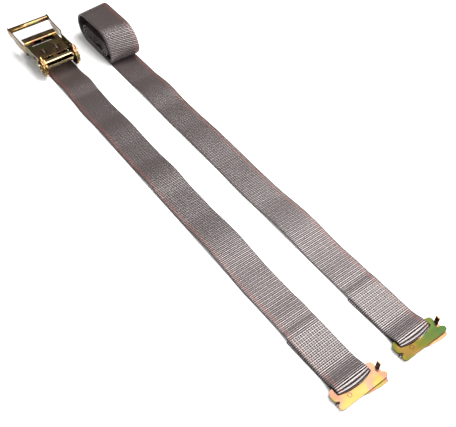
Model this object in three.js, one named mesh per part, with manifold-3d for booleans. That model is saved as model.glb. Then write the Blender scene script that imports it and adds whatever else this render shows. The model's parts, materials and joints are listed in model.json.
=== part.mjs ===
// Two-inch E-track ratchet strap, laid out flat in its two halves.
// Short half: ratchet buckle sitting closed on its own webbing, spring E-fitting on the other end.
// Long half: webbing with a spring E-fitting, its free end wound in a loose roll.
// Millimetres, +Z up, floor at z = 0, +X from the ratchet towards the E-fittings.
import * as THREE from 'three';
import { mergeVertices } from 'three/addons/utils/BufferGeometryUtils.js';
import Module from 'manifold-3d';

const wasm = await Module();
wasm.setup();

// ---- driving dimensions ----
const HALF_LENGTH = 440.6;        // the whole layout, half its length and half its width
const HALF_WIDTH = 92.2;
const GAP = 0.3;                  // clearance between neighbouring solids

const WEB_W = 50.8;               // two-inch webbing
const WEB_T = 2.2;

const EAR_TIP = 122.5;            // from the spindle axis back to the tips of the handle
const GRIP_END = 40.1;            // from the ratchet's centreline out to the grip rod's heads
const SPINDLE_X = -HALF_LENGTH + EAR_TIP;
const RATCHET_Y = -HALF_WIDTH + GRIP_END;
const SHORT_Y = RATCHET_Y + 1.2;  // the webbing lies a little to one side in the ratchet

const SPINDLE_Z = 22;
const SPINDLE_R = 8.2;
const SPINDLE_SLOT = 6.2;
const SPINDLE_TILT = 34;          // degrees that the slot's mouth is raised
const SPINDLE_HALF_LENGTH = 37.6;
const BEARING_R = SPINDLE_R + 0.25;

const FRAME_IN = 27;              // inner face of a frame side plate, from the centreline
const FRAME_OUT = 28.9;
const FRAME_R = 17.5;             // side plate's round end about the spindle
const FRAME_FLOOR_Z = 4.7;        // the frame sits on two layers of webbing
const FRAME_FLOOR_T = 1.9;

const WHEEL_IN = 29.2;
const WHEEL_OUT = 31.5;
const WHEEL_R = 19;
const WHEEL_ROOT_R = 15.4;
const WHEEL_TEETH = 11;

const ARM_IN = 31.8;              // handle arm faces beside the wheels
const ARM_OUT = 33.7;
const ARM_R = 16;
const WIDE = 4.3;                 // the arms bend out by this much past the anchor bolt
const EAR_OUT = 39.2;             // outer faces of the ears that hold the grip
const GRIP = { x: -116, z: 31, r: 4.9 };

const WASHER = { y0: ARM_OUT + 0.3, y1: ARM_OUT + 1.1, r: 11 };
const COTTER_Y = 36;
const COTTER_R = 1;

const BOLT = { x: -68, z: 12.9, r: 4 };
const BOLT_HEAD_T = 4.2;
const SLEEVE_R = 5;
const LOOP_IN_R = 5.4;            // webbing loop round the sleeve
const LOOP_OUT_R = LOOP_IN_R + WEB_T;
const FLOOR_BACK_X = BOLT.x + 13.2; // the frame's floor plate stops short of the webbing loop
const FLOOR_FRONT_X = -13;        // and short of the space where webbing winds on the spindle

const PULL_Z = 25.2;              // underside of the release pull
const PULL_T = 2.2;
const PULL_FRONT_X = -19.4;
const PULL_BACK_X = -82;
const PULL_REAR_HALF = 30.6;      // half its width behind the wheels
const LIP_TOP = PULL_Z + 4.8;     // the plate is stepped up behind the finger window
const CURL_DROP = 3;              // and its front edge there is turned down below the plate
const TONGUE_X = -13.4;           // the plate's middle reaches forward between the frame's plates
const FINGER = { x0: -66.5, x1: -53.5, half: 22 };
const SPRING_Y = 12;
const HANDLE_WEB = { x0: -53, x1: -30.5, z: 21, t: 2 };
const FRAME_PAWL = { front: -17.3, back: -29, z: 9.4, t: 2.4 };
const SPRING_TAB_X = -43;

const LEVER_END = 27;             // from the E-fitting's bar to the tip of its open lever
const BAR_X = HALF_LENGTH - LEVER_END; // centre of the bar that the webbing folds round
const BAR_HALF = 2.5;
const FITTING_T = 2.8;
const FITTING_HALF = 37.8;
const SHORT_SHIFT = 2.4;          // each fitting has slid this far across on its webbing
const LONG_SHIFT = 2.9;
const LONG_Y = HALF_WIDTH - FITTING_HALF - LONG_SHIFT;
const SLOT_LOW = -WEB_W / 2 - LONG_SHIFT - 0.4; // the webbing slot's ends, from the fitting's middle
const SLOT_HIGH = WEB_W / 2 - SHORT_SHIFT + 1.4;
const NOSE_IN_R = 3.05;           // webbing fold, inside radius
const NOSE_OUT_R = NOSE_IN_R + WEB_T;
const BAR_Z = NOSE_OUT_R;
const PLATE_Z = BAR_Z - FITTING_T / 2;
const SEWN_LENGTH = 84;           // doubled webbing behind each fold
const TAIL_RAMP = 12;             // length over which a sewn tail thins out
const RIVET = { x: 13.5, y: -17, r: 2.5 };
const LEVER = { z: 1.1, t: 2.1 };
const TAB = { x0: 3.6, x1: 9.8, top: 15 };

const ROLL = { x0: -393, x1: -268, top: 57, wall: 15, corner: 26 };

// ---- materials ----
const zinc = () => new THREE.MeshStandardMaterial({ color: 0xa88a45, roughness: 0.35, metalness: 1 });
const paleZinc = () => new THREE.MeshStandardMaterial({ color: 0xd8c06a, roughness: 0.3, metalness: 1 });
const steel = () => new THREE.MeshStandardMaterial({ color: 0x9a958c, roughness: 0.4, metalness: 1 });
const webbing = () => new THREE.MeshStandardMaterial({ color: 0x7c7371, roughness: 0.75, metalness: 0 });

// ---- solids ----
const rad = THREE.MathUtils.degToRad;

function extrudeZ(shape, z0, z1, segments = 10) {
  const options = { depth: z1 - z0, bevelEnabled: false, curveSegments: segments };
  return new THREE.ExtrudeGeometry(shape, options).translate(0, 0, z0);
}

// An outline drawn in X and Z, carried from y0 to y1.
function extrudeY(shape, y0, y1, segments = 10) {
  const options = { depth: y1 - y0, bevelEnabled: false, curveSegments: segments };
  return new THREE.ExtrudeGeometry(shape, options).rotateX(Math.PI / 2).translate(0, y1, 0);
}

function polygon(points) {
  const shape = new THREE.Shape();
  points.forEach(([x, y], i) => (i ? shape.lineTo(x, y) : shape.moveTo(x, y)));
  shape.closePath();
  return shape;
}

function disc(x, y, r, hole = 0) {
  const shape = new THREE.Shape().absarc(x, y, r, 0, 2 * Math.PI);
  if (hole) shape.holes.push(new THREE.Path().absarc(x, y, hole, 0, 2 * Math.PI));
  return shape;
}

function box(x0, x1, y0, y1, z0, z1) {
  return new THREE.BoxGeometry(x1 - x0, y1 - y0, z1 - z0)
    .translate((x0 + x1) / 2, (y0 + y1) / 2, (z0 + z1) / 2);
}

function solid(geometry) {
  const bare = geometry.clone();
  bare.deleteAttribute('normal');
  bare.deleteAttribute('uv');
  const merged = mergeVertices(bare, 1e-4);
  return new wasm.Manifold(new wasm.Mesh({
    numProp: 3,
    vertProperties: new Float32Array(merged.attributes.position.array),
    triVerts: new Uint32Array(merged.index.array),
  }));
}

function geometryOf(manifold) {
  const mesh = manifold.getMesh();
  const g = new THREE.BufferGeometry();
  g.setAttribute('position', new THREE.BufferAttribute(new Float32Array(mesh.vertProperties), 3));
  g.setIndex(new THREE.BufferAttribute(new Uint32Array(mesh.triVerts), 1));
  g.computeVertexNormals();
  return g;
}

const meet = (a, b) => geometryOf(solid(a).intersect(solid(b)));
const join = (...parts) => geometryOf(parts.map(solid).reduce((a, b) => a.add(b)));

function cut(body, ...tools) {
  return geometryOf(tools.map(solid).reduce((a, b) => a.subtract(b), solid(body)));
}

// A round wire along a curve.
function wire(curve, radius, steps, sides = 6) {
  const circle = new THREE.EllipseCurve(0, 0, radius, radius, 0, 2 * Math.PI);
  const section = new THREE.Shape(circle.getPoints(sides).slice(0, -1));
  return new THREE.ExtrudeGeometry(section, { steps, extrudePath: curve, bevelEnabled: false });
}

class Helix extends THREE.Curve {
  constructor(radius, length, turns) {
    super();
    Object.assign(this, { radius, length, turns });
  }

  getPoint(t, target = new THREE.Vector3()) {
    const a = 2 * Math.PI * this.turns * t;
    return target.set(this.length * t, this.radius * Math.cos(a), this.radius * Math.sin(a));
  }
}

const part = new THREE.Group();

function add(parent, name, geometry, material) {
  const mesh = new THREE.Mesh(geometry, material);
  mesh.name = name;
  parent.add(mesh);
  return mesh;
}

// ---- ratchet buckle, drawn about the spindle: x from the spindle, z from the floor ----
const ratchet = new THREE.Group();
ratchet.position.set(SPINDLE_X, RATCHET_Y, 0);
part.add(ratchet);
const SIDES = [['left', -1], ['right', 1]];

function spanY(side, inner, outer) {
  return side < 0 ? [-outer, -inner] : [inner, outer];
}

// Side plates and floor of the frame: an outline across the whole width, hollowed between the plates.
function frameChannel() {
  const back = BOLT.x - 12.5;
  const floor = FRAME_FLOOR_Z;
  const front = rad(-55);
  const outline = new THREE.Shape();
  outline.moveTo(back + 4, floor);
  outline.lineTo(4, floor);
  outline.quadraticCurveTo(7, floor + 0.5, FRAME_R * Math.cos(front), SPINDLE_Z + FRAME_R * Math.sin(front));
  outline.absarc(0, SPINDLE_Z, FRAME_R, front, rad(203), false);
  outline.lineTo(-51, 17.5);
  outline.quadraticCurveTo(-55, 17.5, -58, 19.8);
  outline.absarc(BOLT.x, BOLT.z, 12, rad(40), rad(150), false);
  outline.quadraticCurveTo(back, BOLT.z, back, floor + 4);
  outline.quadraticCurveTo(back, floor, back + 4, floor);
  const pawl = FRAME_PAWL;
  return cut(
    extrudeY(outline, -FRAME_OUT, FRAME_OUT, 12),
    box(-100, 40, -FRAME_IN, FRAME_IN, floor + FRAME_FLOOR_T, 60),
    box(FLOOR_FRONT_X, 40, -FRAME_IN, FRAME_IN, 0, 60),
    box(-100, FLOOR_BACK_X, -FRAME_IN, FRAME_IN, 0, 60),
    box(pawl.back - 6, pawl.front + 1.2, -50, 50, pawl.z - GAP, pawl.z + pawl.t + GAP),
    extrudeY(disc(0, SPINDLE_Z, BEARING_R), -50, 50, 16),
    extrudeY(disc(BOLT.x, BOLT.z, BOLT.r + GAP), -50, 50),
  );
}

// A tab bent up from the frame floor, which the pawl spring pushes against.
function springTab() {
  return box(SPRING_TAB_X - 2.2, SPRING_TAB_X, -6, 6, FRAME_FLOOR_Z + 1, 14);
}

function framePawl() {
  const { front, back, z, t } = FRAME_PAWL;
  return join(
    box(back, front, -FRAME_IN + 0.4, FRAME_IN - 0.4, z, z + t),
    box(front - 6, front, -WHEEL_OUT + 0.2, WHEEL_OUT - 0.2, z, z + t),
  );
}

// Half of the split spindle: a round bar less everything on the far side of the slot.
function spindleHalf(sign) {
  const edge = Math.asin(SPINDLE_SLOT / 2 / SPINDLE_R);
  const d = new THREE.Shape().absarc(0, 0, SPINDLE_R, edge, Math.PI - edge, false);
  d.closePath();
  const bar = extrudeY(d, -SPINDLE_HALF_LENGTH, SPINDLE_HALF_LENGTH, 18);
  if (sign < 0) bar.rotateY(Math.PI);
  const pinHole = (s) => new THREE.CylinderGeometry(COTTER_R + 0.3, COTTER_R + 0.3, 40, 10)
    .rotateX(Math.PI / 2)
    .translate(0, s * COTTER_Y, 0);
  return cut(bar, pinHole(-1), pinHole(1)).rotateY(-rad(SPINDLE_TILT)).translate(0, 0, SPINDLE_Z);
}

// The eye stands above the spindle and the leg runs down through both halves.
function cotterPin() {
  const eye = new THREE.TorusGeometry(2.4, 0.8, 8, 14)
    .rotateX(Math.PI / 2)
    .translate(0, 0, SPINDLE_R + 3.6);
  const leg = new THREE.CylinderGeometry(COTTER_R, COTTER_R, 2 * SPINDLE_R + 5.5, 10)
    .rotateX(Math.PI / 2)
    .translate(0, 0, -0.8);
  return join(leg, eye).rotateY(-rad(SPINDLE_TILT));
}

// Saw teeth: each rises along a long back and drops on a steep face.
function ratchetWheel(side) {
  const step = (2 * Math.PI) / WHEEL_TEETH;
  const tooth = [
    [0, WHEEL_ROOT_R],
    [0.28, WHEEL_ROOT_R + 0.7],
    [0.72, WHEEL_R - 0.4],
    [0.84, WHEEL_R],
    [0.96, WHEEL_R - 0.3],
  ];
  const teeth = [];
  for (let i = 0; i < WHEEL_TEETH; i += 1) {
    for (const [f, r] of tooth) {
      const a = (i + f) * step;
      teeth.push([r * Math.cos(a), SPINDLE_Z + r * Math.sin(a)]);
    }
  }
  const shape = polygon(teeth);
  shape.holes.push(new THREE.Path().absarc(0, SPINDLE_Z, BEARING_R, 0, 2 * Math.PI));
  return extrudeY(shape, ...spanY(side, WHEEL_IN, WHEEL_OUT), 18);
}

// Side view of the handle's arms.
function armOutline() {
  const s = new THREE.Shape();
  const heel = rad(-143);
  s.moveTo(ARM_R * Math.cos(heel), SPINDLE_Z + ARM_R * Math.sin(heel));
  s.absarc(0, SPINDLE_Z, ARM_R, heel, rad(105), false);
  s.quadraticCurveTo(-14, 34.9, -32, 34.6);
  s.lineTo(-65, 34.2);
  s.quadraticCurveTo(-89, 33.4, -101, 34.4);
  s.quadraticCurveTo(-110, 35.4, -117, 36.6);
  s.quadraticCurveTo(-EAR_TIP, 36.4, -EAR_TIP, 31.5);
  s.quadraticCurveTo(-122, 25.4, -116, 24.4);
  s.quadraticCurveTo(-101, 22, -93, 19);
  s.quadraticCurveTo(-83, 15.6, -74, 17.2);
  s.quadraticCurveTo(-69, 20.6, -61, 20.6);
  s.lineTo(-33, 18.6);
  s.quadraticCurveTo(-22, 17, ARM_R * Math.cos(heel), SPINDLE_Z + ARM_R * Math.sin(heel));
  return s;
}

// Plan view of one arm: straight beside the wheel, bent out past the bolt, flared again at the ear.
function armPlan(side) {
  const thickness = ARM_OUT - ARM_IN;
  const outer = [
    [30, ARM_OUT],
    [-50, ARM_OUT],
    [-60, ARM_OUT + WIDE],
    [-104, ARM_OUT + WIDE],
    [-111, EAR_OUT],
    [-EAR_TIP, EAR_OUT],
  ];
  const inner = outer.map(([x, y]) => [x, y - thickness]).reverse();
  return polygon([...outer, ...inner].map(([x, y]) => [x, side * y]));
}

// The handle is one pressing: two arms joined by a web low between them, which carries the spring tabs.
function handleFrame() {
  const lugSlot = box(PULL_FRONT_X - 15, PULL_FRONT_X + 0.6, -50, 50, PULL_Z - GAP, PULL_Z + PULL_T + GAP);
  const spindleHole = extrudeY(disc(0, SPINDLE_Z, BEARING_R), -50, 50, 16);
  const rodHole = extrudeY(disc(GRIP.x, GRIP.z, 2.8), -50, 50);
  const arms = SIDES.map(([, s]) => meet(extrudeY(armOutline(), -50, 50, 8), extrudeZ(armPlan(s), 0, 80)));
  const { x0, x1, z, t } = HANDLE_WEB;
  const web = box(x0, x1, -ARM_IN - 1, ARM_IN + 1, z, z + t);
  const tab = (s) => box(-36.2, -34.6, s * SPRING_Y - 2.6, s * SPRING_Y + 2.6, z + 1, PULL_Z + PULL_T + 1.2);
  return cut(join(...arms, web, tab(-1), tab(1)), lugSlot, spindleHole, rodHole);
}

// The release pull: pawl edge at the front, spring windows, finger window and a raised lip behind it.
function releasePull() {
  const y = ARM_IN - 0.4;
  const z = PULL_Z;
  const plate = box(FINGER.x0 - 6, PULL_FRONT_X, -y, y, z, z + PULL_T);
  const sideCut = (s) => box(PULL_BACK_X, -49, ...spanY(s, PULL_REAR_HALF, 60), 0, 60);
  const lugs = box(PULL_FRONT_X - 7, PULL_FRONT_X, -ARM_OUT - 1.2, ARM_OUT + 1.2, z, z + PULL_T);
  const springWindow = (s) => box(-38.4, -23.2, s * SPRING_Y - 3.4, s * SPRING_Y + 3.4, 0, 60);
  const fingerWindow = box(FINGER.x0, FINGER.x1, -FINGER.half, FINGER.half, 0, 60);
  const between = FRAME_IN - 0.4;
  const tongue = box(PULL_FRONT_X - 1, TONGUE_X, -between, between, z, z + PULL_T);
  const curl = box(FINGER.x0 - PULL_T, FINGER.x0, -between, between, z - CURL_DROP, z + 1);
  const lip = new THREE.Shape();
  lip.moveTo(FINGER.x0, z);
  lip.absarc(FINGER.x0 - PULL_T, LIP_TOP - PULL_T, PULL_T, 0, rad(90), false);
  lip.absarc(PULL_BACK_X + PULL_T / 2, LIP_TOP - PULL_T / 2, PULL_T / 2, rad(90), rad(270), false);
  lip.lineTo(FINGER.x0 - 6, LIP_TOP - PULL_T);
  lip.lineTo(FINGER.x0 - 6, z);
  const flat = cut(join(plate, lugs, tongue), sideCut(-1), sideCut(1));
  const body = join(flat, curl, extrudeY(lip, -PULL_REAR_HALF, PULL_REAR_HALF, 6));
  return cut(body, springWindow(-1), springWindow(1), fingerWindow);
}

// Rod through the grip tube, its ends peened over outside the ears.
function gripRod() {
  const rod = extrudeY(disc(GRIP.x, GRIP.z, 2.5), -GRIP_END + 0.3, GRIP_END - 0.3);
  const head = (s) => extrudeY(disc(GRIP.x, GRIP.z, 4), ...spanY(s, EAR_OUT + 0.3, GRIP_END));
  return join(rod, head(-1), head(1));
}

// A spring of round wire, its axis along x from the origin.
function coil(length, radius, wireRadius, turns) {
  return wire(new Helix(radius, length, turns), wireRadius, turns * 10, 5);
}

function hexagon(x, z, r) {
  const corners = [];
  for (let i = 0; i < 6; i += 1) {
    const a = (i * Math.PI) / 3;
    corners.push([x + r * Math.cos(a), z + r * Math.sin(a)]);
  }
  return polygon(corners);
}

// Bolt across the frame's back end with a nut and the spacer sleeve that the webbing loop turns on.
function anchor() {
  const headIn = FRAME_OUT + GAP;
  const headOut = headIn + BOLT_HEAD_T;
  const hex = (s) => extrudeY(hexagon(BOLT.x, BOLT.z, 7.4), ...spanY(s, headIn, headOut));
  const shank = extrudeY(disc(BOLT.x, BOLT.z, BOLT.r), -headIn - 0.5, headOut + 0.6);
  const thread = extrudeY(disc(BOLT.x, BOLT.z, BOLT.r + GAP), 0, 50);
  const sleeve = disc(BOLT.x, BOLT.z, SLEEVE_R, BOLT.r + GAP);
  add(ratchet, 'anchor_bolt', join(shank, hex(-1)), zinc());
  add(ratchet, 'anchor_nut', cut(hex(1), thread), zinc());
  add(ratchet, 'anchor_sleeve', extrudeY(sleeve, -FRAME_IN + GAP, FRAME_IN - GAP), steel());
}

function ratchetBuckle() {
  const pawlSpring = FRAME_PAWL.back - SPRING_TAB_X - 1.8;
  const gripHalf = EAR_OUT - (ARM_OUT - ARM_IN) - GAP;
  add(ratchet, 'frame_channel', join(frameChannel(), springTab()), zinc());
  add(ratchet, 'frame_pawl', framePawl(), zinc());
  add(ratchet, 'frame_pawl_spring', coil(pawlSpring, 2.1, 0.5, 6), steel())
    .position.set(SPRING_TAB_X + 0.9, 0, FRAME_PAWL.z + FRAME_PAWL.t / 2);
  add(ratchet, 'spindle_half_upper', spindleHalf(1), steel());
  add(ratchet, 'spindle_half_lower', spindleHalf(-1), steel());
  for (const [name, s] of SIDES) {
    const washer = disc(0, SPINDLE_Z, WASHER.r, BEARING_R);
    const washerSpan = spanY(s, WASHER.y0, WASHER.y1);
    add(ratchet, `ratchet_wheel_${name}`, ratchetWheel(s), zinc());
    add(ratchet, `spindle_washer_${name}`, extrudeY(washer, ...washerSpan, 16), zinc());
    add(ratchet, `cotter_pin_${name}`, cotterPin(), steel()).position.set(0, s * COTTER_Y, SPINDLE_Z);
    add(ratchet, `release_spring_${name}`, coil(9.6, 2, 0.45, 5), steel())
      .position.set(-34.1, s * SPRING_Y, PULL_Z + PULL_T / 2);
  }
  add(ratchet, 'handle_frame', handleFrame(), zinc());
  add(ratchet, 'grip_tube', extrudeY(disc(GRIP.x, GRIP.z, GRIP.r, 3), -gripHalf, gripHalf, 14), zinc());
  add(ratchet, 'grip_rod', gripRod(), steel());
  add(ratchet, 'release_pull', releasePull(), zinc());
  anchor();
}

ratchetBuckle();

// ---- webbing ----
// Side view of the fold round a fitting's bar: round the bar and back on top, doubled for the sewn length.
function foldOver(shape) {
  shape.lineTo(BAR_X, 0);
  shape.absarc(BAR_X, BAR_Z, NOSE_OUT_R, -Math.PI / 2, rad(100), false);
  shape.quadraticCurveTo(BAR_X - 7, BAR_Z + NOSE_OUT_R, BAR_X - 16, 2 * WEB_T + 0.6);
  shape.quadraticCurveTo(BAR_X - 22, 2 * WEB_T, BAR_X - 30, 2 * WEB_T);
  shape.lineTo(BAR_X - SEWN_LENGTH, 2 * WEB_T);
  shape.lineTo(BAR_X - SEWN_LENGTH - TAIL_RAMP, WEB_T);
  shape.holes.push(new THREE.Path().absarc(BAR_X, BAR_Z, NOSE_IN_R, 0, 2 * Math.PI));
}

// Short webbing: fold at the E-fitting, flat on the floor, doubled under the frame, loop round the sleeve.
function shortWebbing() {
  const bolt = SPINDLE_X + BOLT.x;
  const tail = SPINDLE_X + FLOOR_FRONT_X - 3;
  const s = new THREE.Shape();
  s.moveTo(bolt, 0);
  foldOver(s);
  s.lineTo(tail + 6, WEB_T);
  s.lineTo(tail, 2 * WEB_T);
  s.lineTo(bolt + 13.5, 2 * WEB_T);
  s.quadraticCurveTo(bolt + 9, 2 * WEB_T, bolt + LOOP_OUT_R, BOLT.z - 3);
  s.absarc(bolt, BOLT.z, LOOP_OUT_R, rad(-5), rad(180), false);
  s.lineTo(bolt - LOOP_OUT_R, 6);
  s.quadraticCurveTo(bolt - LOOP_OUT_R, 0, bolt, 0);
  s.holes.push(new THREE.Path().absarc(bolt, BOLT.z, LOOP_IN_R, 0, 2 * Math.PI));
  return extrudeY(s, -WEB_W / 2, WEB_W / 2, 12);
}

function longWebbing() {
  const s = new THREE.Shape();
  s.moveTo(ROLL.x0 + ROLL.corner, 0);
  foldOver(s);
  s.lineTo(ROLL.x0 + ROLL.corner, WEB_T);
  return extrudeY(s, -WEB_W / 2, WEB_W / 2, 12);
}

function roundedBox(x0, x1, z0, z1, r) {
  const s = new THREE.Shape();
  s.moveTo(x0 + r, z0);
  s.lineTo(x1 - r, z0);
  s.absarc(x1 - r, z0 + r, r, -Math.PI / 2, 0, false);
  s.lineTo(x1, z1 - r);
  s.absarc(x1 - r, z1 - r, r, 0, Math.PI / 2, false);
  s.lineTo(x0 + r, z1);
  s.absarc(x0 + r, z1 - r, r, Math.PI / 2, Math.PI, false);
  s.lineTo(x0, z0 + r);
  s.absarc(x0 + r, z0 + r, r, Math.PI, 1.5 * Math.PI, false);
  return s;
}

// The roll is a flattened ring of turns lying on the strap that it is wound from.
function webbingRoll() {
  const z0 = WEB_T + GAP;
  const { x0, x1, top, wall, corner } = ROLL;
  const ring = roundedBox(x0, x1, z0, top, corner);
  const eyeBottom = z0 + wall;
  const eyeTop = top - wall / 2;
  const eye = roundedBox(x0 + wall, x1 - wall, eyeBottom, eyeTop, 0.48 * (eyeTop - eyeBottom));
  ring.holes.push(new THREE.Path(eye.getPoints(8).reverse()));
  return extrudeY(ring, -WEB_W / 2, WEB_W / 2, 8);
}

add(part, 'short_webbing', shortWebbing(), webbing()).position.y = SHORT_Y;
add(part, 'long_webbing', longWebbing(), webbing()).position.y = LONG_Y;
add(part, 'long_webbing_roll', webbingRoll(), webbing()).position.y = LONG_Y;

// ---- spring E-fitting, drawn about its bar: x away from the webbing, y across, z from the floor ----
function fittingPlate() {
  const s = new THREE.Shape();
  s.moveTo(-3, -34);
  s.quadraticCurveTo(-4.6, -31, -4.2, SLOT_LOW);
  s.lineTo(-4.2, SLOT_HIGH);
  s.quadraticCurveTo(-4.4, 31.4, -0.4, 32.6);
  s.quadraticCurveTo(4.6, 33.6, 7.6, 29.8);
  s.quadraticCurveTo(10.6, 26.6, 13.4, 29.6);
  s.quadraticCurveTo(14.4, FITTING_HALF, 18.6, FITTING_HALF);
  s.quadraticCurveTo(22.8, FITTING_HALF, 23, 32.6);
  s.lineTo(23, -32);
  s.quadraticCurveTo(22.8, -37.2, 19, -37.2);
  s.quadraticCurveTo(15.4, -37.2, 14.6, -33.6);
  s.quadraticCurveTo(13.2, -30.4, 11.6, -32.8);
  s.quadraticCurveTo(10.6, -36.8, 5.6, -36.8);
  s.quadraticCurveTo(-0.6, -36.8, -3, -34);
  const slot = new THREE.Shape();
  slot.moveTo(BAR_HALF, SLOT_LOW);
  slot.lineTo(6.2, SLOT_LOW);
  slot.quadraticCurveTo(16.4, (SLOT_LOW + SLOT_HIGH) / 2, 6.2, SLOT_HIGH);
  slot.lineTo(BAR_HALF, SLOT_HIGH);
  slot.closePath();
  return cut(
    extrudeZ(s, PLATE_Z, PLATE_Z + FITTING_T, 6),
    extrudeZ(slot, 0, 20, 12),
    box(-20, -BAR_HALF, SLOT_LOW, SLOT_HIGH, 0, 20),
    extrudeZ(disc(RIVET.x, RIVET.y, RIVET.r + GAP), 0, 20),
  );
}

// Locking lever under the plate, sprung open past the plate's edge, with a thumb tab bent up at one end.
function fittingLever() {
  const s = new THREE.Shape();
  s.moveTo(20, -18);
  s.quadraticCurveTo(21.6, -6, 24.4, 4);
  s.lineTo(LEVER_END, 22);
  s.lineTo(LEVER_END, 33.5);
  s.lineTo(20.5, 36);
  s.lineTo(TAB.x0, 36);
  s.lineTo(TAB.x0, 34.1);
  s.quadraticCurveTo(10.2, 32, 10.4, 26);
  s.lineTo(9.4, 2);
  s.lineTo(7.2, -16);
  s.quadraticCurveTo(7, -23.4, 13.6, -23.4);
  s.quadraticCurveTo(19.6, -23.4, 20, -18);
  const plate = cut(
    extrudeZ(s, LEVER.z, LEVER.z + LEVER.t, 6),
    extrudeZ(disc(RIVET.x, RIVET.y, RIVET.r + GAP), 0, 20),
  );
  return join(plate, box(TAB.x0, TAB.x1, 34.1, 36, LEVER.z + 0.4, TAB.top));
}

// A broad head under the lever and a shank peened flush with the top of the plate.
function fittingRivet() {
  const headT = 0.8;
  const top = PLATE_Z + FITTING_T;
  const profile = [[0, 0], [4, 0], [4, headT], [RIVET.r, headT], [RIVET.r, top], [0, top]];
  return new THREE.LatheGeometry(profile.map(([r, z]) => new THREE.Vector2(r, z)), 16)
    .rotateX(Math.PI / 2)
    .translate(RIVET.x, RIVET.y, 0);
}

// Wire spring under the plate: an eye that shows in the notch and a leg that bears on the lever.
function fittingSpring() {
  const eye = { x: 13.2, y: -34.4, r: 2.2 };
  const points = [];
  for (let i = 0; i <= 14; i += 1) {
    const a = rad(-60 + i * 30);
    points.push(new THREE.Vector3(eye.x + eye.r * Math.cos(a), eye.y + eye.r * Math.sin(a), 0.9 + i * 0.1));
  }
  points.push(new THREE.Vector3(19.5, -31, 2.3), new THREE.Vector3(21, -25, 2.3));
  return wire(new THREE.CatmullRomCurve3(points), 0.55, 40, 5);
}

for (const [name, y] of [['short', SHORT_Y + SHORT_SHIFT], ['long', LONG_Y + LONG_SHIFT]]) {
  const fitting = new THREE.Group();
  fitting.position.set(BAR_X, y, 0);
  part.add(fitting);
  add(fitting, `${name}_fitting_plate`, fittingPlate(), paleZinc());
  add(fitting, `${name}_fitting_lever`, fittingLever(), paleZinc());
  add(fitting, `${name}_fitting_rivet`, fittingRivet(), steel());
  add(fitting, `${name}_fitting_spring`, fittingSpring(), steel());
}

export default part;
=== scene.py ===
"""Two-inch ratchet strap laid out in its two halves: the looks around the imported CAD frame.

Sizes are in millimetres, and MM turns them into metres where a mesh is made. +X runs from the ratchet to the
E-fittings, +Y from the short half to the long half, and the floor is at z = 0.
"""

import json
import math
import random
from contextlib import contextmanager

import bmesh
import bpy
import numpy as np
from mathutils import Matrix, Vector


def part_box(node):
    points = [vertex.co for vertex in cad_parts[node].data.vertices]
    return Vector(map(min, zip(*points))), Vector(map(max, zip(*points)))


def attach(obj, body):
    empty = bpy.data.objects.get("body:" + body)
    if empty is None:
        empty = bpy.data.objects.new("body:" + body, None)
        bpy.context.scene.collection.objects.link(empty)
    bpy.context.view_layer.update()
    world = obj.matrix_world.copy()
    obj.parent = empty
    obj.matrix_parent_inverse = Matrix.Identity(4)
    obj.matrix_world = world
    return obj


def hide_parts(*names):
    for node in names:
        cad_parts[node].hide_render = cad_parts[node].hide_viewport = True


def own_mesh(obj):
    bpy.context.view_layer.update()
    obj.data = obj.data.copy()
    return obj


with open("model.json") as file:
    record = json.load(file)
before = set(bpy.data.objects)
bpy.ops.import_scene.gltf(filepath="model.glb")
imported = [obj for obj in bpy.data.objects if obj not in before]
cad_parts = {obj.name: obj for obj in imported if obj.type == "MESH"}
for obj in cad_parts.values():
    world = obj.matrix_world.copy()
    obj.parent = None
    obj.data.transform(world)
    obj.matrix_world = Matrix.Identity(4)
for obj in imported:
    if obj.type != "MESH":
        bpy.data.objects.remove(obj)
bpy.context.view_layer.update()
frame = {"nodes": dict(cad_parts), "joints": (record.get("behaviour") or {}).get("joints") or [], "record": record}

MM = 0.001
JOINTS = {j["name"]: j for j in frame["joints"]}


def pivot(joint):
    return Vector(JOINTS[joint]["pos_m"]) / MM


def box(node):
    low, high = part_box(node)
    return low / MM, high / MM


def middle(node):
    low, high = box(node)
    return (low + high) / 2


SPINDLE = pivot("spindle_spin")
BOLT = pivot("ratchet_swing")
FITTINGS = {"short": pivot("short_fitting_swing"), "long": pivot("long_fitting_swing")}
RIVETS = {"short": pivot("short_lever_turn"), "long": pivot("long_lever_turn")}

# ---- webbing dimensions ----
WEB_WIDTH = box("short_webbing")[1].y - box("short_webbing")[0].y
WEB_HALF = 0.86                 # half its thickness, less the ribs
RIB_PITCH = 2.7
RIB_STEPS = 6                   # vertices along each rib
RIB_HEIGHT = 0.24
LAYER = 2.3                     # from the middle of one layer to the next
FLOOR_Z = WEB_HALF + RIB_HEIGHT     # middle of the layer on the floor
SEWN = 84                       # doubled webbing behind each fitting
BUNDLE = WEB_WIDTH / 10         # warp bundles across the webbing
TRACER = 5.0                    # from the edge to the middle of the tracer line
NOSE_R = FITTINGS["short"].z - FLOOR_Z
NOSE_REACH = 5.3                # how far forward of the bar the fold's middle line reaches
NOSE_FULLNESS = 0.55            # and how much further in the middle of its width
TAIL_SHIFT = 2.2                # the sewn tail lies this far to one side under the strap


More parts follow.
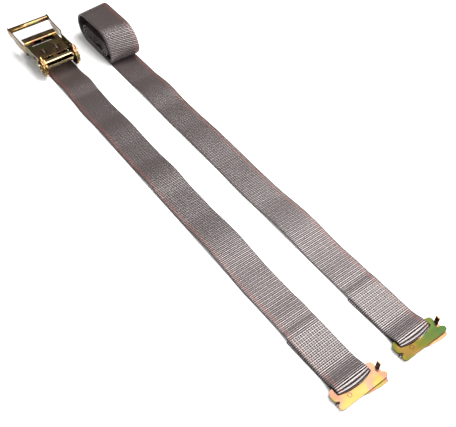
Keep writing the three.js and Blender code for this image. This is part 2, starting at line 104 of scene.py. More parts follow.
# ---- shader helpers ----
class Shader:
    """A material of nodes, built through short calls that return output sockets."""

    def __init__(self, name):
        self.material = bpy.data.materials.new(name)
        self.material.use_nodes = True
        self.nodes = self.material.node_tree.nodes
        self.links = self.material.node_tree.links
        self.nodes.clear()
        self.bsdf = self.nodes.new("ShaderNodeBsdfPrincipled")
        out = self.nodes.new("ShaderNodeOutputMaterial")
        self.links.new(self.bsdf.outputs["BSDF"], out.inputs["Surface"])

    def put(self, value, socket):
        if isinstance(value, bpy.types.NodeSocket):
            self.links.new(value, socket)
        else:
            socket.default_value = value

    def set(self, **values):
        for name, value in values.items():
            self.put(value, self.bsdf.inputs[name.replace("_", " ")])

    def math(self, operation, a, b=0.0, c=0.0):
        node = self.nodes.new("ShaderNodeMath")
        node.operation = operation
        for value, socket in zip((a, b, c), node.inputs):
            self.put(value, socket)
        return node.outputs[0]

    def mix(self, factor, a, b):
        node = self.nodes.new("ShaderNodeMix")
        node.data_type = "RGBA"
        self.put(factor, node.inputs["Factor"])
        for value, socket in ((a, node.inputs[6]), (b, node.inputs[7])):
            self.put(value if isinstance(value, bpy.types.NodeSocket) else (*value, 1.0), socket)
        return node.outputs[2]

    def ramp(self, factor, stops):
        node = self.nodes.new("ShaderNodeValToRGB")
        node.color_ramp.interpolation = "EASE"
        elements = node.color_ramp.elements
        while len(elements) < len(stops):
            elements.new(0.5)
        for element, (place, colour) in zip(elements, stops):
            element.position = place
            element.color = (*colour, 1.0)
        self.put(factor, node.inputs["Fac"])
        return node.outputs["Color"]

    def remap(self, value, low, high, to_low=0.0, to_high=1.0):
        node = self.nodes.new("ShaderNodeMapRange")
        node.interpolation_type = "SMOOTHSTEP"
        for v, socket in zip((value, low, high, to_low, to_high), node.inputs):
            self.put(v, socket)
        return node.outputs["Result"]

    def position(self, stretch=(1.0, 1.0, 1.0)):
        coordinates = self.nodes.new("ShaderNodeTexCoord")
        mapping = self.nodes.new("ShaderNodeMapping")
        mapping.inputs["Scale"].default_value = stretch
        self.links.new(coordinates.outputs["Object"], mapping.inputs["Vector"])
        return mapping.outputs["Vector"]

    def noise(self, scale, vector, detail=3.0, roughness=0.5, distortion=0.0):
        node = self.nodes.new("ShaderNodeTexNoise")
        self.links.new(vector, node.inputs["Vector"])
        node.inputs["Scale"].default_value = scale
        node.inputs["Detail"].default_value = detail
        node.inputs["Roughness"].default_value = roughness
        node.inputs["Distortion"].default_value = distortion
        return node.outputs["Fac"]

    def bump(self, height, distance, strength=1.0):
        node = self.nodes.new("ShaderNodeBump")
        node.inputs["Distance"].default_value = distance
        node.inputs["Strength"].default_value = strength
        self.links.new(height, node.inputs["Height"])
        self.links.new(node.outputs["Normal"], self.bsdf.inputs["Normal"])


def wave(shader, value, pitch):
    """0 to 1 and back over each pitch, 1 at whole pitches."""
    turns = shader.math("MULTIPLY", value, 2 * math.pi / pitch)
    return shader.math("MULTIPLY_ADD", shader.math("COSINE", turns), 0.5, 0.5)


# ---- materials ----
def zinc_material(name, tones, rough, patch=26.0):
    """Yellow chromate zinc: patches of slightly different tint, faint rolling lines, pits and smears."""
    s = Shader(name)
    patches = s.noise(patch, s.position(), detail=2.5, roughness=0.55, distortion=0.6)
    spread = s.remap(patches, 0.3, 0.7)
    steps = [(i / (len(tones) - 1), tone) for i, tone in enumerate(tones)]
    tint = s.ramp(spread, steps)
    speck = s.noise(900.0, s.position(), detail=2.0)
    dulled = s.mix(s.remap(speck, 0.62, 0.8, 0.0, 0.35), tint, [0.55 * c for c in tones[0]])
    smears = s.noise(60.0, s.position((1.0, 0.25, 1.0)), detail=4.0)
    s.set(Base_Color=dulled, Metallic=1.0, Roughness=s.remap(smears, 0.35, 0.7, *rough))
    lines = s.noise(1500.0, s.position((0.04, 1.0, 1.0)), detail=1.0)
    s.bump(s.math("ADD", s.math("MULTIPLY", lines, 0.4), patches), 0.00012, 0.35)
    return s.material


def webbing_material():
    """Ribbed polyester webbing: weft ribs with painted shade in the valleys between them, warp bundles, a tracer
    line near one edge and darker selvedges.
    """
    s = Shader("polyester_webbing")
    weave = s.nodes.new("ShaderNodeAttribute")
    weave.attribute_name = "weave"
    parts = s.nodes.new("ShaderNodeSeparateXYZ")
    s.links.new(weave.outputs["Vector"], parts.inputs[0])
    across, along, tracer_side = parts.outputs
    rib = wave(s, along, RIB_PITCH)
    every_other = wave(s, along, 2 * RIB_PITCH)
    bundle = wave(s, across, BUNDLE)
    yarns = wave(s, s.math("MULTIPLY_ADD", along, 0.25, across), 0.85)
    # mask of the rib crowns; the valleys outside it are painted darker as shade
    crown_not_valley_shade = s.remap(rib, 0.08, 0.42)
    cloud = s.remap(s.noise(14.0, s.position(), detail=4.0), 0.35, 0.7)
    top = s.mix(cloud, (0.050, 0.037, 0.037), (0.045, 0.029, 0.030))
    top = s.mix(s.math("MULTIPLY", every_other, 0.35), top, (0.032, 0.024, 0.024))
    top = s.mix(s.math("MULTIPLY", yarns, 0.2), top, (0.12, 0.100, 0.098))
    # painted shade: the valleys between the ribs take a near-black colour
    shade = s.mix(crown_not_valley_shade, (0.016, 0.011, 0.011), top)
    shade = s.mix(s.remap(bundle, 0.8, 1.0, 0.0, 0.4), shade, (0.035, 0.026, 0.026))
    from_tracer = s.math("ABSOLUTE", s.math("SUBTRACT", tracer_side, TRACER))
    # painted shade: the tracer's red is darker in the rib valleys
    red = s.mix(crown_not_valley_shade, (0.04, 0.010, 0.007), (0.24, 0.055, 0.035))
    shade = s.mix(s.remap(from_tracer, 0.8, 4.5, 0.20, 0.0), shade, red)
    shade = s.mix(s.remap(from_tracer, 0.8, 1.8, 0.14, 0.0), shade, red)
    middle_out = s.math("ABSOLUTE", across)
    selvedge = s.remap(middle_out, WEB_WIDTH / 2 - 1.8, WEB_WIDTH / 2 - 0.3, 0.0, 0.8)
    shade = s.mix(selvedge, shade, (0.034, 0.026, 0.026))
    s.set(Base_Color=shade, Roughness=0.27, IOR=1.85, Specular_Tint=(1.0, 0.95, 0.93, 1.0))
    shine = s.remap(rib, 0.3, 0.8)
    evenness = s.math("MULTIPLY_ADD", every_other, -0.25, 0.95)
    s.set(Specular_IOR_Level=s.math("MULTIPLY", shine, evenness))
    height = s.math("ADD", s.math("MULTIPLY", yarns, 0.35), s.math("MULTIPLY", bundle, -0.5))
    s.bump(height, 0.00018, 0.8)
    return s.material


def thread_material():
    s = Shader("sewing_thread")
    ply = s.noise(2500.0, s.position((0.3, 1.0, 1.0)), detail=2.0)
    s.set(Base_Color=s.mix(ply, (0.22, 0.195, 0.185), (0.38, 0.35, 0.34)), Roughness=0.5)
    s.bump(ply, 0.0001, 0.6)
    return s.material


# Tones of the plating and of the spring wire, in linear colour.
DARK = (
    (0.13, 0.066, 0.042), (0.20, 0.120, 0.044), (0.24, 0.180, 0.070),
    (0.16, 0.080, 0.050), (0.12, 0.112, 0.040),
)
BRIGHT = ((0.29, 0.22, 0.115), (0.37, 0.295, 0.16), (0.32, 0.245, 0.13))
PALE = ((0.15, 0.118, 0.028), (0.17, 0.130, 0.036), (0.19, 0.092, 0.062), (0.17, 0.120, 0.036))
OLIVE = ((0.032, 0.056, 0.016), (0.058, 0.056, 0.009), (0.105, 0.062, 0.016), (0.045, 0.050, 0.010))
COPPER = ((0.17, 0.072, 0.036), (0.21, 0.105, 0.048))
STEEL = ((0.11, 0.095, 0.075), (0.18, 0.155, 0.12))
MATERIALS = {
    "zinc_dark": zinc_material("zinc_dark_gold", DARK, rough=(0.09, 0.2), patch=24.0),
    "zinc_bright": zinc_material("zinc_bright_gold", BRIGHT, rough=(0.08, 0.16)),
    "zinc_fitting_short": zinc_material("zinc_pale_gold", PALE, rough=(0.38, 0.5), patch=20.0),
    "zinc_fitting_long": zinc_material("zinc_olive_gold", OLIVE, rough=(0.38, 0.5), patch=16.0),
    "spring_steel": zinc_material("spring_wire", STEEL, rough=(0.25, 0.4)),
    "webbing": webbing_material(),
}
COPPER_LEVER = zinc_material("zinc_copper_gold", COPPER, rough=(0.2, 0.3))
THREAD = thread_material()
SLOT_OF = {s["node"]: s["material_slot"] for s in frame["record"]["subparts"]}
BODIES = frame["record"]["behaviour"]["bodies"]
BODY_OF = {node: body for body, nodes in BODIES.items() for node in nodes}


# ---- mesh helpers ----
def mesh_piece(name, vertices, faces, material):
    """A smooth-shaded mesh from millimetres."""
    mesh = bpy.data.meshes.new(name)
    mesh.from_pydata((np.asarray(vertices, float) * MM).tolist(), [], [list(f) for f in faces])
    mesh.polygons.foreach_set("use_smooth", [True] * len(mesh.polygons))
    mesh.materials.append(material)
    mesh.update()
    piece = bpy.data.objects.new(name, mesh)
    bpy.context.scene.collection.objects.link(piece)
    return piece


def stand_for(piece, node):
    """piece takes a CAD node's place: the node is hidden and the piece goes onto that node's body."""
    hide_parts(node)
    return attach(piece, BODY_OF[node])


@contextmanager
def edited(mesh):
    """A BMesh of mesh, which is written back at the end."""
    shape = bmesh.new()
    shape.from_mesh(mesh)
    yield shape
    shape.to_mesh(mesh)
    shape.free()


def face_outwards(mesh):
    """Turns every face of a closed mesh outwards."""
    with edited(mesh) as shape:
        bmesh.ops.recalc_face_normals(shape, faces=shape.faces)
        if shape.calc_volume(signed=True) < 0:
            bmesh.ops.reverse_faces(shape, faces=shape.faces)


def circle(count):
    """Angles evenly spaced over a full turn."""
    return np.linspace(0, 2 * math.pi, count, endpoint=False)


def tube_faces(rings, sides, first=0, capped=True):
    """Quads between neighbouring rings of sides points, and a face over each end."""
    faces = []
    for i in range(rings - 1):
        a, b = first + i * sides, first + (i + 1) * sides
        for j in range(sides):
            k = (j + 1) % sides
            faces.append((a + j, a + k, b + k, b + j))
    if capped:
        last = first + (rings - 1) * sides
        faces += [range(first, first + sides), range(last, last + sides)]
    return faces


SHARP = math.radians(29)
SAME_POINT = 2e-5               # metres: nearer points of a CAD node are merged
FLAT = math.radians(0.8)        # facets that turn by less are one face


def finish_node(node, edge, material=None):
    """A copy of a CAD node with its facets merged and every sharp edge rounded."""
    source = frame["nodes"][node].data
    piece = mesh_piece(
        node + "_finished",
        [v.co / MM for v in source.vertices],
        [p.vertices for p in source.polygons],
        material or MATERIALS[SLOT_OF[node]],
    )
    with edited(piece.data) as shape:
        bmesh.ops.remove_doubles(shape, verts=shape.verts, dist=SAME_POINT)
        bmesh.ops.dissolve_degenerate(shape, edges=shape.edges, dist=SAME_POINT / 10)
        bmesh.ops.dissolve_limit(shape, angle_limit=FLAT, verts=shape.verts, edges=shape.edges)
    face_outwards(piece.data)
    bevel = piece.modifiers.new("rounded_edges", "BEVEL")
    bevel.width = edge * MM
    bevel.segments = 2
    bevel.limit_method = "ANGLE"
    bevel.angle_limit = SHARP
    bevel.use_clamp_overlap = True
    bevel.harden_normals = True
    return stand_for(piece, node)


def turned(name, profile, centre, material, segments=48):
    """A solid of revolution about an axis along Y: profile is (y, radius) from one end to the other."""
    rings = [[(r * math.cos(a), y, r * math.sin(a)) for a in circle(segments)] for y, r in profile]
    vertices = np.array(rings).reshape(-1, 3) + np.array(centre)
    faces = tube_faces(len(rings), segments, capped=profile[0] != profile[-1])
    piece = mesh_piece(name, vertices, faces, material)
    with edited(piece.data) as shape:
        bmesh.ops.remove_doubles(shape, verts=shape.verts, dist=1e-6)
    face_outwards(piece.data)
    piece.data.set_sharp_from_angle(angle=SHARP)
    return piece


def wire(name, points, radius, material, sides=12):
    """A round wire along points, with closed ends."""
    points = np.asarray(points, float)
    tangents = np.gradient(points, axis=0)
    tangents /= np.linalg.norm(tangents, axis=1)[:, None]
    side = np.cross(tangents[0], (0.3, 0.5, 0.8))   # any direction that isn't along the wire
    vertices = []
    for point, tangent in zip(points, tangents):
        side = side - tangent * (side @ tangent)
        side /= np.linalg.norm(side)
        other = np.cross(tangent, side)
        for a in circle(sides):
            vertices.append(point + radius * (math.cos(a) * side + math.sin(a) * other))
    piece = mesh_piece(name, vertices, tube_faces(len(points), sides), material)
    face_outwards(piece.data)
    return piece


# ---- webbing ----
class Route:
    """The middle line of a strap in X and Z: lines, curves and parts of ellipses, laid end to end."""

    def __init__(self, x, z):
        self.points = [(x, z)]

    def line(self, x, z):
        (x0, z0), steps = self.points[-1], np.linspace(0, 1, 60)[1:]
        self.points += [(x0 + (x - x0) * t, z0 + (z - z0) * t) for t in steps]
        return self

    def curve(self, first, second, end):
        """A cubic curve with two guide points."""
        p = [np.array(q) for q in (self.points[-1], first, second, end)]
        for t in np.linspace(0, 1, 80)[1:]:
            u = 1 - t
            q = u**3 * p[0] + 3 * u * u * t * p[1] + 3 * u * t * t * p[2] + t**3 * p[3]
            self.points.append(tuple(q))
        return self

    def arc(self, x, z, rx, rz, start, end):
        """Part of an ellipse, in degrees from +X towards +Z; a straight join leads to it."""
        for a in np.radians(np.linspace(start, end, 90)):
            self.points.append((x + rx * math.cos(a), z + rz * math.sin(a)))
        return self

    def even(self, step):
        """Points about a step apart along the route."""
        points = np.array(self.points)
        keep = np.r_[True, np.linalg.norm(np.diff(points, axis=0), axis=1) > 1e-6]
        points = points[keep]
        length = np.r_[0, np.cumsum(np.linalg.norm(np.diff(points, axis=0), axis=1))]
        at = np.linspace(0, length[-1], int(round(length[-1] / step)) + 1)
        return np.c_[np.interp(at, length, points[:, 0]), np.interp(at, length, points[:, 1])]


def smoothstep(value, low, high):
    t = np.clip((value - low) / (high - low), 0, 1)
    return t * t * (3 - 2 * t)


def soften(points, passes=10):
    """Rounds the small kinks where two parts of a route meet."""
    for _ in range(passes):
        points[1:-1] = 0.25 * points[:-2] + 0.5 * points[1:-1] + 0.25 * points[2:]
    return points


ROUND_EDGE = 0.9                # the webbing thins out this far from its sides and from its cut ends


def webbing_strip(name, route, y_middle, tracer_side, bend):
    """A closed strip of ribbed webbing along a route; bend moves its finished vertices.

    It returns the strip and its length."""
    points = soften(route.even(RIB_PITCH / RIB_STEPS))
    along = np.arange(len(points)) * RIB_PITCH / RIB_STEPS
    tangent = np.gradient(points, axis=0)
    tangent /= np.linalg.norm(tangent, axis=1)[:, None]
    normal = np.c_[-tangent[:, 1], tangent[:, 0]]
    half = WEB_WIDTH / 2
    inner = np.linspace(-half + ROUND_EDGE, half - ROUND_EDGE, 13)
    # Across the selvedge: place and share of the thickness.
    edge = [(half - 0.35, 0.86), (half, 0.4), (half, -0.4), (half - 0.35, -0.86)]
    section = [(y, 1.0) for y in inner] + edge + [(y, -1.0) for y in inner[::-1]]
    section += [(-y, -t) for y, t in edge]
    across = np.array([y for y, _ in section])
    lift = np.array([t for _, t in section])
    valley = 0.5 - 0.5 * np.cos(2 * math.pi * along / RIB_PITCH)
    every_other = 1 - 0.12 * np.cos(math.pi * along / RIB_PITCH) ** 2
    rib = RIB_HEIGHT * every_other * (1 - 2 * valley**3)
    end = np.minimum(along, along[-1] - along)
    closing = np.sqrt(np.clip(end / ROUND_EDGE, 0.02, 1))
    offset = (WEB_HALF + rib[:, None]) * closing[:, None] * lift[None, :]
    x = points[:, :1] + normal[:, :1] * offset
    z = points[:, 1:] + normal[:, 1:] * offset
    y = y_middle + np.broadcast_to(across, x.shape)
    vertices = np.stack([x, y, z], axis=-1).reshape(-1, 3)
    vertices = bend(vertices, y_middle)
    n = len(section)
    first = np.arange(len(points) - 1)[:, None] * n
    j = np.arange(n)[None, :]
    k = (j + 1) % n
    quads = np.stack([first + j, first + k, first + n + k, first + n + j], axis=-1).reshape(-1, 4)
    faces = quads.tolist() + [list(range(n)), list(range((len(points) - 1) * n, len(points) * n))]
    piece = mesh_piece(name, vertices, faces, MATERIALS["webbing"])
    face_outwards(piece.data)
    weave = piece.data.attributes.new("weave", "FLOAT_VECTOR", "POINT")
    values = np.zeros((len(points), n, 3), np.float32)
    values[:, :, 0] = across
    values[:, :, 1] = along[:, None]
    values[:, :, 2] = half + tracer_side * across
    weave.data.foreach_set("vector", values.ravel())
    return piece, float(along[-1])


def fold_at(bar):
    """A route from the sewn tail on the floor, round a fitting's bar and back over the tail to the floor."""
    top = FLOOR_Z + LAYER
    ramp = bar.x - SEWN - 2
    route = Route(bar.x - SEWN, FLOOR_Z)
    route.line(bar.x, FLOOR_Z)
    route.arc(bar.x, bar.z, NOSE_REACH, NOSE_R, -90, 90)
    route.curve((bar.x - 7, bar.z + NOSE_R), (bar.x - 15, top + 0.4), (bar.x - 26, top))
    route.line(ramp, top)
    return route.curve((ramp - 7, top), (ramp - 8, FLOOR_Z), (ramp - 16, FLOOR_Z))


def short_route():
    """Round the fitting's bar, along the floor, round the anchor bolt and back under the ratchet."""
    top = FLOOR_Z + LAYER
    loop_r = 6.5
    left, right, guide_z = BOLT.x - loop_r, BOLT.x + loop_r, 6.5
    route = fold_at(FITTINGS["short"])
    route.line(BOLT.x + 2, FLOOR_Z)
    route.curve((left + 1, FLOOR_Z), (left, guide_z), (left, BOLT.z))
    route.arc(BOLT.x, BOLT.z, loop_r, loop_r, 180, 0)
    route.curve((right + 0.4, guide_z), (BOLT.x + 10, top), (BOLT.x + 16, top))
    return route.line(SPINDLE.x - 16, top)


# Long low waves of each strap: place along it, half their length, height and shift across.
SHORT_WAVES = (
    (-262, 34, 2.6, 1.0), (-190, 40, 0.4, -1.3), (-122, 42, 1.6, 0.2), (3, 44, 2.6, 0.6),
    (158, 62, 3.0, 0.8), (240, 36, 0.3, -0.7), (305, 26, 1.2, 0.5),
)
LONG_WAVES = (
    (-168, 48, 2.6, 1.0), (-90, 34, 0.3, -0.5), (-20, 60, 1.2, 0.0), (100, 60, 0.4, -1.1),
    (196, 62, 3.2, 0.5), (300, 30, 1.0, 0.2),
)
LEVER_CLEAR = (2.6, 5.4)        # the fold's nose is slim up to the first height and full from the second


def rippled(vertices, y_middle, waves=SHORT_WAVES):
    """Rounds out the fold's nose, moves its tail aside and lifts the free strap in long low waves."""
    x, y, z = vertices.T.copy()
    bar = FITTINGS["short"].x
    above_lever = smoothstep(z, *LEVER_CLEAR)
    fullness = above_lever * (1 - ((y - y_middle) / (WEB_WIDTH / 2)) ** 2)
    vertices[:, 0] += np.where(x > bar, (x - bar) * NOSE_FULLNESS * fullness, 0)
    tail = (x > bar - SEWN - 1) & (z < FLOOR_Z + 1.2)
    vertices[:, 1] -= np.where(tail, TAIL_SHIFT * smoothstep(bar - x, 0, SEWN), 0)
    for place, reach, height, shift in waves:
        near = np.clip(1 - ((x - place) / reach) ** 2, 0, 1) ** 2
        vertices[:, 1] += near * shift
        vertices[:, 2] += near * height
    return vertices


# ---- the roll at the end of the long half ----
ROLL_LEFT = -392                # far end of the outermost turn, at its middle line
ROLL_RIGHT = -268
ROLL_TOP = 55.6
RING_TURNS = 2
FLAT_TURNS = 4
# Each end is two quarter ellipses: the height where they meet, and their half widths below and above it.
FAR = {"z": 27, "low": 32, "high": 33}
NEAR = {"z": 21, "low": 20, "high": 37}
SLACK = 2.6                     # between the flattened inner turns
LEAN = 0.30                     # how far the near end of the roll is skewed, per millimetre across
FAR_EDGE_LIFT = 4.5             # how far the roll's far upper edge stands up
ROLL_END_X = -230               # everything at a smaller x belongs to the roll


def long_route():
    """From the sewn end round the fitting's bar, along the floor, and into the roll."""
    route = fold_at(FITTINGS["long"])
    for k in range(RING_TURNS):
        inset = LAYER * k
        low, high = FLOOR_Z + inset, ROLL_TOP - inset
        far_z, near_z = FAR["z"], NEAR["z"]
        route.arc(ROLL_LEFT + FAR["low"], far_z, FAR["low"] - inset, far_z - low, 270, 180)
        route.arc(ROLL_LEFT + FAR["high"], far_z, FAR["high"] - inset, high - far_z, 180, 90)
        route.arc(ROLL_RIGHT - NEAR["high"], near_z, NEAR["high"] - inset, high - near_z, 90, 0)
        route.arc(ROLL_RIGHT - NEAR["low"], near_z, NEAR["low"] - inset, near_z - low - LAYER, 0, -90)
    for k in range(FLAT_TURNS):
        low = FLOOR_Z + LAYER * (RING_TURNS + k)
        high = low + (2 * LAYER + SLACK) * (FLAT_TURNS - k)
        left = ROLL_LEFT + 17 + 5 * k       # each turn is shorter than the one outside it
        right = ROLL_RIGHT - 20 - 6 * k
        half = (high - low) / 2
        route.arc(left + half, low + half, half, half, 270, 90)
        if k < FLAT_TURNS - 1:
            drop = (high - low - LAYER) / 2
            route.arc(right - drop, high - drop, drop, drop, 90, -90)
    end = route.points[-1]
    route.curve((end[0] + 20, end[1]), (end[0] + 28, end[1] - 2), (end[0] + 42, end[1] + 3))
    return route


def leaning(vertices, y_middle):
    """Skews the near end of the roll and lifts its far upper edge."""
    x, y, z = vertices.T
    side = (y - y_middle) / (WEB_WIDTH / 2)
    lean = LEAN * (y - y_middle) * smoothstep(z, 3, 30) * smoothstep(x, -390, -275)
    lift = FAR_EDGE_LIFT * (0.5 + 0.5 * side) * smoothstep(z, 15, 55)
    in_roll = x < ROLL_END_X
    vertices[:, 0] = x + np.where(in_roll, lean, 0)
    vertices[:, 2] = z + np.where(in_roll, lift, 0)
    return rippled(vertices, y_middle, LONG_WAVES)


STITCH_ROWS = 13
STITCH_PITCH = 5.2
STITCH_GAP = 0.7                # between one stitch and the next
STITCHED = SEWN - 32            # length of the stitched patch
THREAD_RADIUS = 0.45


def stitches(name, bar, y_middle, waves, seed):
    """Lengthwise rows of lockstitch through the doubled webbing, each stitch a short raised thread."""
    draw = random.Random(seed)
    start = bar.x - SEWN + 3.5
    surface = FLOOR_Z + LAYER + WEB_HALF + RIB_HEIGHT
    spacing = (WEB_WIDTH - 8) / (STITCH_ROWS - 1)
    vertices, faces = [], []
    steps, sides = 7, 6
    for row in range(STITCH_ROWS):
        y = y_middle + (row - (STITCH_ROWS - 1) / 2) * spacing
        for i in range(int(STITCHED / STITCH_PITCH)):
            x0 = start + i * STITCH_PITCH + draw.uniform(-0.15, 0.15)
            y0 = y + draw.uniform(-0.12, 0.12)
            faces += tube_faces(steps, sides, first=len(vertices))
            for t in np.linspace(0, 1, steps):
                x = x0 + t * (STITCH_PITCH - STITCH_GAP)
                z = surface - THREAD_RADIUS + 0.5 * math.sin(math.pi * t) ** 0.5
                for a in circle(sides):
                    vertices.append((x, y0 + THREAD_RADIUS * math.cos(a), z + THREAD_RADIUS * math.sin(a)))
    piece = mesh_piece(name, rippled(np.array(vertices), y_middle, waves), faces, THREAD)
    with edited(piece.data) as shape:
        bmesh.ops.recalc_face_normals(shape, faces=shape.faces)
    return piece


def make_webbing():
    short_y = middle("short_webbing").y
    long_y = middle("long_webbing").y
    short, short_length = webbing_strip("short_strap_webbing", short_route(), short_y, 1, rippled)
    stand_for(short, "short_webbing")
    long, long_length = webbing_strip("long_strap_webbing", long_route(), long_y, -1, leaning)
    stand_for(long, "long_webbing")
    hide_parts("long_webbing_roll")
    short_rows = stitches("short_strap_stitches", FITTINGS["short"], short_y, SHORT_WAVES, seed=4)
    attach(short_rows, "short_strap")
    long_rows = stitches("long_strap_stitches", FITTINGS["long"], long_y, LONG_WAVES, seed=5)
    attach(long_rows, "long_strap")
    print("webbing lengths in mm:", round(short_length), round(long_length))


# ---- ratchet buckle ----
def make_grip():
    low, high = box("grip_tube")
    centre = middle("grip_tube")
    half, outer, bore = (high.y - low.y) / 2, (high.x - low.x) / 2, 3.0
    turn = 0.7
    rim = [(half - turn, outer), (half - 0.25, outer - 0.22), (half, outer - turn), (half, bore)]
    profile = [(-y, r) for y, r in rim[::-1]] + rim + [(-half, bore)]
    stand_for(turned("grip_tube_finished", profile, centre, MATERIALS["zinc_dark"], 64), "grip_tube")
    low, high = box("grip_rod")
    centre = middle("grip_rod")
    half, head = (high.y - low.y) / 2, (high.x - low.x) / 2
    neck, rod_r = half - 0.9, 2.5
    cap = [(half, 0.8), (half - 0.05, 2.0), (half - 0.3, head - 0.5), (half - 0.6, head)]
    shaft = [(-neck, head), (-neck, rod_r), (neck, rod_r), (neck, head)]
    profile = [(-y, r) for y, r in cap] + shaft + cap[::-1]
    stand_for(turned("grip_rod_finished", profile, centre, MATERIALS["zinc_bright"]), "grip_rod")


def coil(node, turns, wire_radius):
    """A compression spring along X in its CAD node's box."""
    low, high = box(node)
    radius = (high.z - low.z) / 2 - wire_radius
    centre = middle(node)
    x0, x1 = low.x + wire_radius, high.x - wire_radius
    closed_ends = 0.25          # how much nearer together the end turns lie
    points = []
    steps = turns * 28
    for i in range(steps + 1):
        t = i / steps
        a = 2 * math.pi * turns * t
        eased = 0.5 - 0.5 * math.cos(math.pi * t)
        x = x0 + (x1 - x0) * eased * closed_ends + (x1 - x0) * t * (1 - closed_ends)
        points.append((x, centre.y + radius * math.cos(a), centre.z + radius * math.sin(a)))
    spring = stand_for(wire(node + "_finished", points, wire_radius, MATERIALS["spring_steel"]), node)
    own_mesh(spring)


SLOT_TILT = 34                  # degrees that the spindle's slot is raised at its mouth


def cotter(node):
    """A split pin: an eye above the spindle, two legs through it and their tips spread below."""
    tilt = math.radians(SLOT_TILT)
    wire_radius, eye_r, eye_z = 0.52, 2.3, 11.8
    reach = 10.6                # down from the spindle's axis to where the tips spread
    leg = [(0.46, 7.6), (0.48, 0), (0.5, -reach + 2.4), (0.9, -reach + 0.8), (1.9, -reach - 0.6)]
    points = [(-x, z) for x, z in leg[::-1]]
    for a in np.radians(np.linspace(250, -70, 26)):
        points.append((eye_r * math.cos(a), eye_z + eye_r * math.sin(a)))
    points += leg
    y = middle(node).y
    cos, sin = math.cos(tilt), math.sin(tilt)
    path = np.array([(x * cos - z * sin, 0, x * sin + z * cos) for x, z in points])
    fine = []
    for a, b in zip(path[:-1], path[1:]):
        fine += [a + (b - a) * t for t in np.linspace(0, 1, 5)[:-1]]
    fine = soften(np.array(fine + [path[-1]]), 6) + np.array((SPINDLE.x, y, SPINDLE.z))
    stand_for(wire(node + "_finished", fine, wire_radius, MATERIALS["zinc_bright"], 10), node)


def hex_piece(name, y0, y1, flats, material, bore=None):
    """A hexagon nut, or a bolt head if it has no bore, on the anchor bolt's axis; its corners are turned."""
    segments = 72
    corner = flats / math.cos(math.pi / 6)
    turned_to = flats + 0.45 * (corner - flats)
    outward = 1 if y1 > y0 else -1
    rows = [(y0, 0.0), (y1 - outward * 0.75, 0.0), (y1 - outward * 0.3, 0.5), (y1, 1.0)]
    vertices = []
    for y, cut_share in rows:
        for a in circle(segments):
            face_angle = (a + math.pi / 6) % (math.pi / 3) - math.pi / 6
            r = min(flats / math.cos(face_angle), corner + (turned_to - corner) * cut_share)
            vertices.append((BOLT.x + r * math.cos(a), y, BOLT.z + r * math.sin(a)))
    inner = [(y1, bore), (y0, bore)] if bore else [(y1, 3.0), (y1 + outward * 0.01, 0.4)]
    for y, r in inner:
        for a in circle(segments):
            vertices.append((BOLT.x + r * math.cos(a), y, BOLT.z + r * math.sin(a)))
    rings = len(rows) + len(inner)
    faces = tube_faces(rings, segments, capped=not bore)
    if bore:
        last = (rings - 1) * segments
        faces += [(last + j, last + (j + 1) % segments, (j + 1) % segments, j) for j in range(segments)]
    piece = mesh_piece(name, vertices, faces, material)
    face_outwards(piece.data)
    piece.data.set_sharp_from_angle(angle=math.radians(24))
    return piece


def make_anchor():
    """The bolt with its turned head and its thread showing past the nut, and the nut."""
    low, high = box("anchor_bolt")
    nut_low, nut_high = box("anchor_nut")
    head_in = low.y + (nut_high.y - nut_low.y)
    flats = 7.4 * math.cos(math.pi / 6)     # from the axis to a flat, for corners at 7.4
    bolt_r, root_r = 4.0, 3.55              # over the thread and in its grooves
    head = hex_piece("anchor_bolt_head", head_in, low.y, flats, MATERIALS["zinc_dark"])
    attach(head, "ratchet_frame")
    thread_pitch = 1.25
    y = nut_low.y - 1
    profile = [(head_in - 0.2, 0.6), (head_in - 0.2, bolt_r), (y, bolt_r)]
    while y < high.y - 0.9:
        profile += [(y + 0.3, root_r), (y + 0.6, root_r), (y + 0.95, bolt_r), (y + thread_pitch, bolt_r)]
        y += thread_pitch
    profile += [(high.y - 0.3, 3.4), (high.y, 3.0), (high.y, 0.5)]
    centre = Vector((BOLT.x, 0, BOLT.z))
    stand_for(turned("anchor_bolt_finished", profile, centre, MATERIALS["zinc_dark"]), "anchor_bolt")
    bore = bolt_r + 0.15
    nut = hex_piece("anchor_nut_finished", nut_low.y, nut_high.y, flats, MATERIALS["zinc_dark"], bore)
    stand_for(nut, "anchor_nut")


# Nodes that keep their CAD shape, and the radius of their edges.
ROUNDED = {
    "frame_channel": 0.5, "frame_pawl": 0.35, "handle_frame": 0.5, "release_pull": 0.5,
    "ratchet_wheel_left": 0.3, "ratchet_wheel_right": 0.3,
    "spindle_washer_left": 0.2, "spindle_washer_right": 0.2,
    "spindle_half_upper": 0.5, "spindle_half_lower": 0.5, "anchor_sleeve": 0.3,
}


def make_ratchet():
    for node, edge in ROUNDED.items():
        finish_node(node, edge)
    make_grip()
    make_anchor()
    coil("frame_pawl_spring", turns=7, wire_radius=0.45)
    for side in ("left", "right"):
        coil(f"release_spring_{side}", turns=6, wire_radius=0.4)
        cotter(f"cotter_pin_{side}")


# ---- E-fittings ----
def make_fitting(name):
    plate, lever = f"{name}_fitting_plate", f"{name}_fitting_lever"
    finish_node(plate, 0.55)
    finish_node(lever, 0.4, COPPER_LEVER if name == "long" else None)
    rivet = f"{name}_fitting_rivet"
    low, high = box(rivet)
    head_r, shank_r = 4.0, 2.5
    head = [(0, 0.6), (0.05, 3.2), (0.3, head_r), (0.8, head_r), (0.85, shank_r)]
    profile = [(low.z + up, r) for up, r in head]
    profile += [(high.z - 0.15, shank_r), (high.z, shank_r - 0.15), (high.z, 0.7)]
    piece = turned(rivet + "_finished", profile, (0, 0, 0), MATERIALS[SLOT_OF[rivet]])
    piece.data.transform(Matrix.Rotation(math.pi / 2, 4, "X"))
    piece.data.transform(Matrix.Translation(Vector((RIVETS[name].x, RIVETS[name].y, 0)) * MM))
    face_outwards(piece.data)
    stand_for(piece, rivet)
    fitting_spring(name)


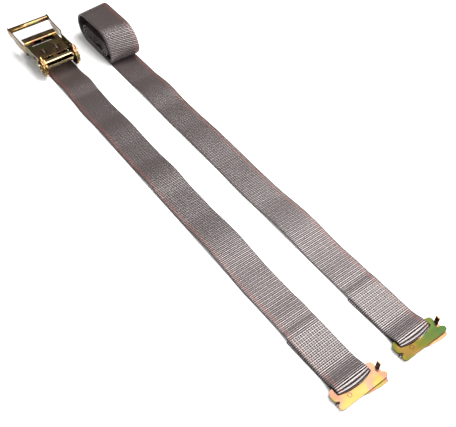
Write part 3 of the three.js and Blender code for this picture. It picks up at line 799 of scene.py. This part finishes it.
def fitting_spring(name):
    """A wire eye that shows in the plate's notch and a leg that bears on the lever."""
    bar = FITTINGS[name]
    eye_x, eye_y, eye_r = 13.2, -34.4, 2.2      # from the fitting's bar
    low_z, rise = 0.95, 0.0165                  # the eye's first point, and the climb to each next one
    wire_radius = 0.55
    points = []
    for i in range(85):
        turn = math.radians(-60 + i * 5)
        points.append((eye_x + eye_r * math.cos(turn), eye_y + eye_r * math.sin(turn), low_z + i * rise))
    last = np.array(points[-1])
    guide, tip = np.array((19.5, -31, 2.3)), np.array((21, -25, 2.3))
    for t in np.linspace(0, 1, 16)[1:]:
        points.append(tuple(guide * 2 * t * (1 - t) + tip * t * t + last * (1 - t) ** 2))
    placed = np.array(points) + np.array((bar.x, bar.y, 0))
    node = f"{name}_fitting_spring"
    stand_for(wire(node + "_finished", placed, wire_radius, MATERIALS["spring_steel"], 10), node)


# ---- stage, lights and camera; the floor and the lights are in metres ----
CAMERA_PLACE = Vector((598.9, -367.4, 711.3)) * MM
CAMERA_FORWARD = Vector((-0.5155, 0.3826, -0.7667)).normalized()
CAMERA_LENS = 51.09
WORLD_STRENGTH = 0.30


def make_stage():
    mesh = bpy.data.meshes.new("studio_floor")
    reach = 4.0
    corners = [(-reach, -reach, 0), (reach, -reach, 0), (reach, reach, 0), (-reach, reach, 0)]
    mesh.from_pydata(corners, [], [(0, 1, 2, 3)])
    paper = Shader("pale_paper")
    paper.set(Base_Color=(0.90, 0.90, 0.90, 1.0), Roughness=0.8, Specular_IOR_Level=0.1)
    mesh.materials.append(paper.material)
    floor = bpy.data.objects.new("studio_floor", mesh)
    bpy.context.scene.collection.objects.link(floor)
    world = bpy.data.worlds.new("studio")
    bpy.context.scene.world = world
    world.use_nodes = True
    background = world.node_tree.nodes["Background"].inputs
    background["Color"].default_value = (1.0, 1.0, 1.0, 1.0)
    background["Strength"].default_value = WORLD_STRENGTH
    bpy.context.scene.view_settings.view_transform = "Standard"


def add_light(name, kind, place, energy, **settings):
    data = bpy.data.lights.new(name, kind)
    data.energy = energy
    for key, value in settings.items():
        setattr(data, key, value)
    light = bpy.data.objects.new(name, data)
    light.location = place
    bpy.context.scene.collection.objects.link(light)
    return light


def softbox(name, x0, x1, y0, y1, radiance):
    """A light facing straight down, over part of the floor, whose power follows from its area."""
    height = 1.5
    place = ((x0 + x1) / 2, (y0 + y1) / 2, height)
    power = radiance * math.pi * (x1 - x0) * (y1 - y0)
    add_light(name, "AREA", place, power, shape="RECTANGLE", size=x1 - x0, size_y=y1 - y0)


def make_lights():
    softbox("near_softbox", -0.45, 1.00, 0.15, 1.25, 10.8)
    softbox("far_softbox", -1.15, -0.60, 0.15, 1.15, 0.8)
    place = (1.6, 0.5, 0.8)
    front = add_light("front_softbox", "AREA", place, 42.0, shape="RECTANGLE", size=1.2, size_y=1.7)
    front.rotation_euler = (0, math.radians(90), 0)
    suns = (("key", (0.15, 0.9, 1.3), 0.6, 1.0), ("fill", (0.6, -1.0, 0.9), 0.7, 1.6))
    for name, place, strength, angle in suns:
        sun = add_light(name, "SUN", place, strength, angle=angle)
        sun.rotation_mode = "QUATERNION"
        sun.rotation_quaternion = Vector(place).to_track_quat("Z", "Y")


def make_camera():
    data = bpy.data.cameras.new("camera")
    data.lens = CAMERA_LENS
    data.sensor_width = 36.0
    data.clip_start, data.clip_end = 0.01, 50.0
    camera = bpy.data.objects.new("camera", data)
    camera.location = CAMERA_PLACE
    camera.rotation_mode = "QUATERNION"
    camera.rotation_quaternion = CAMERA_FORWARD.to_track_quat("-Z", "Y")
    bpy.context.scene.collection.objects.link(camera)
    bpy.context.scene.camera = camera


make_camera()
make_stage()
make_lights()
make_webbing()
make_ratchet()
for half_name in FITTINGS:
    make_fitting(half_name)
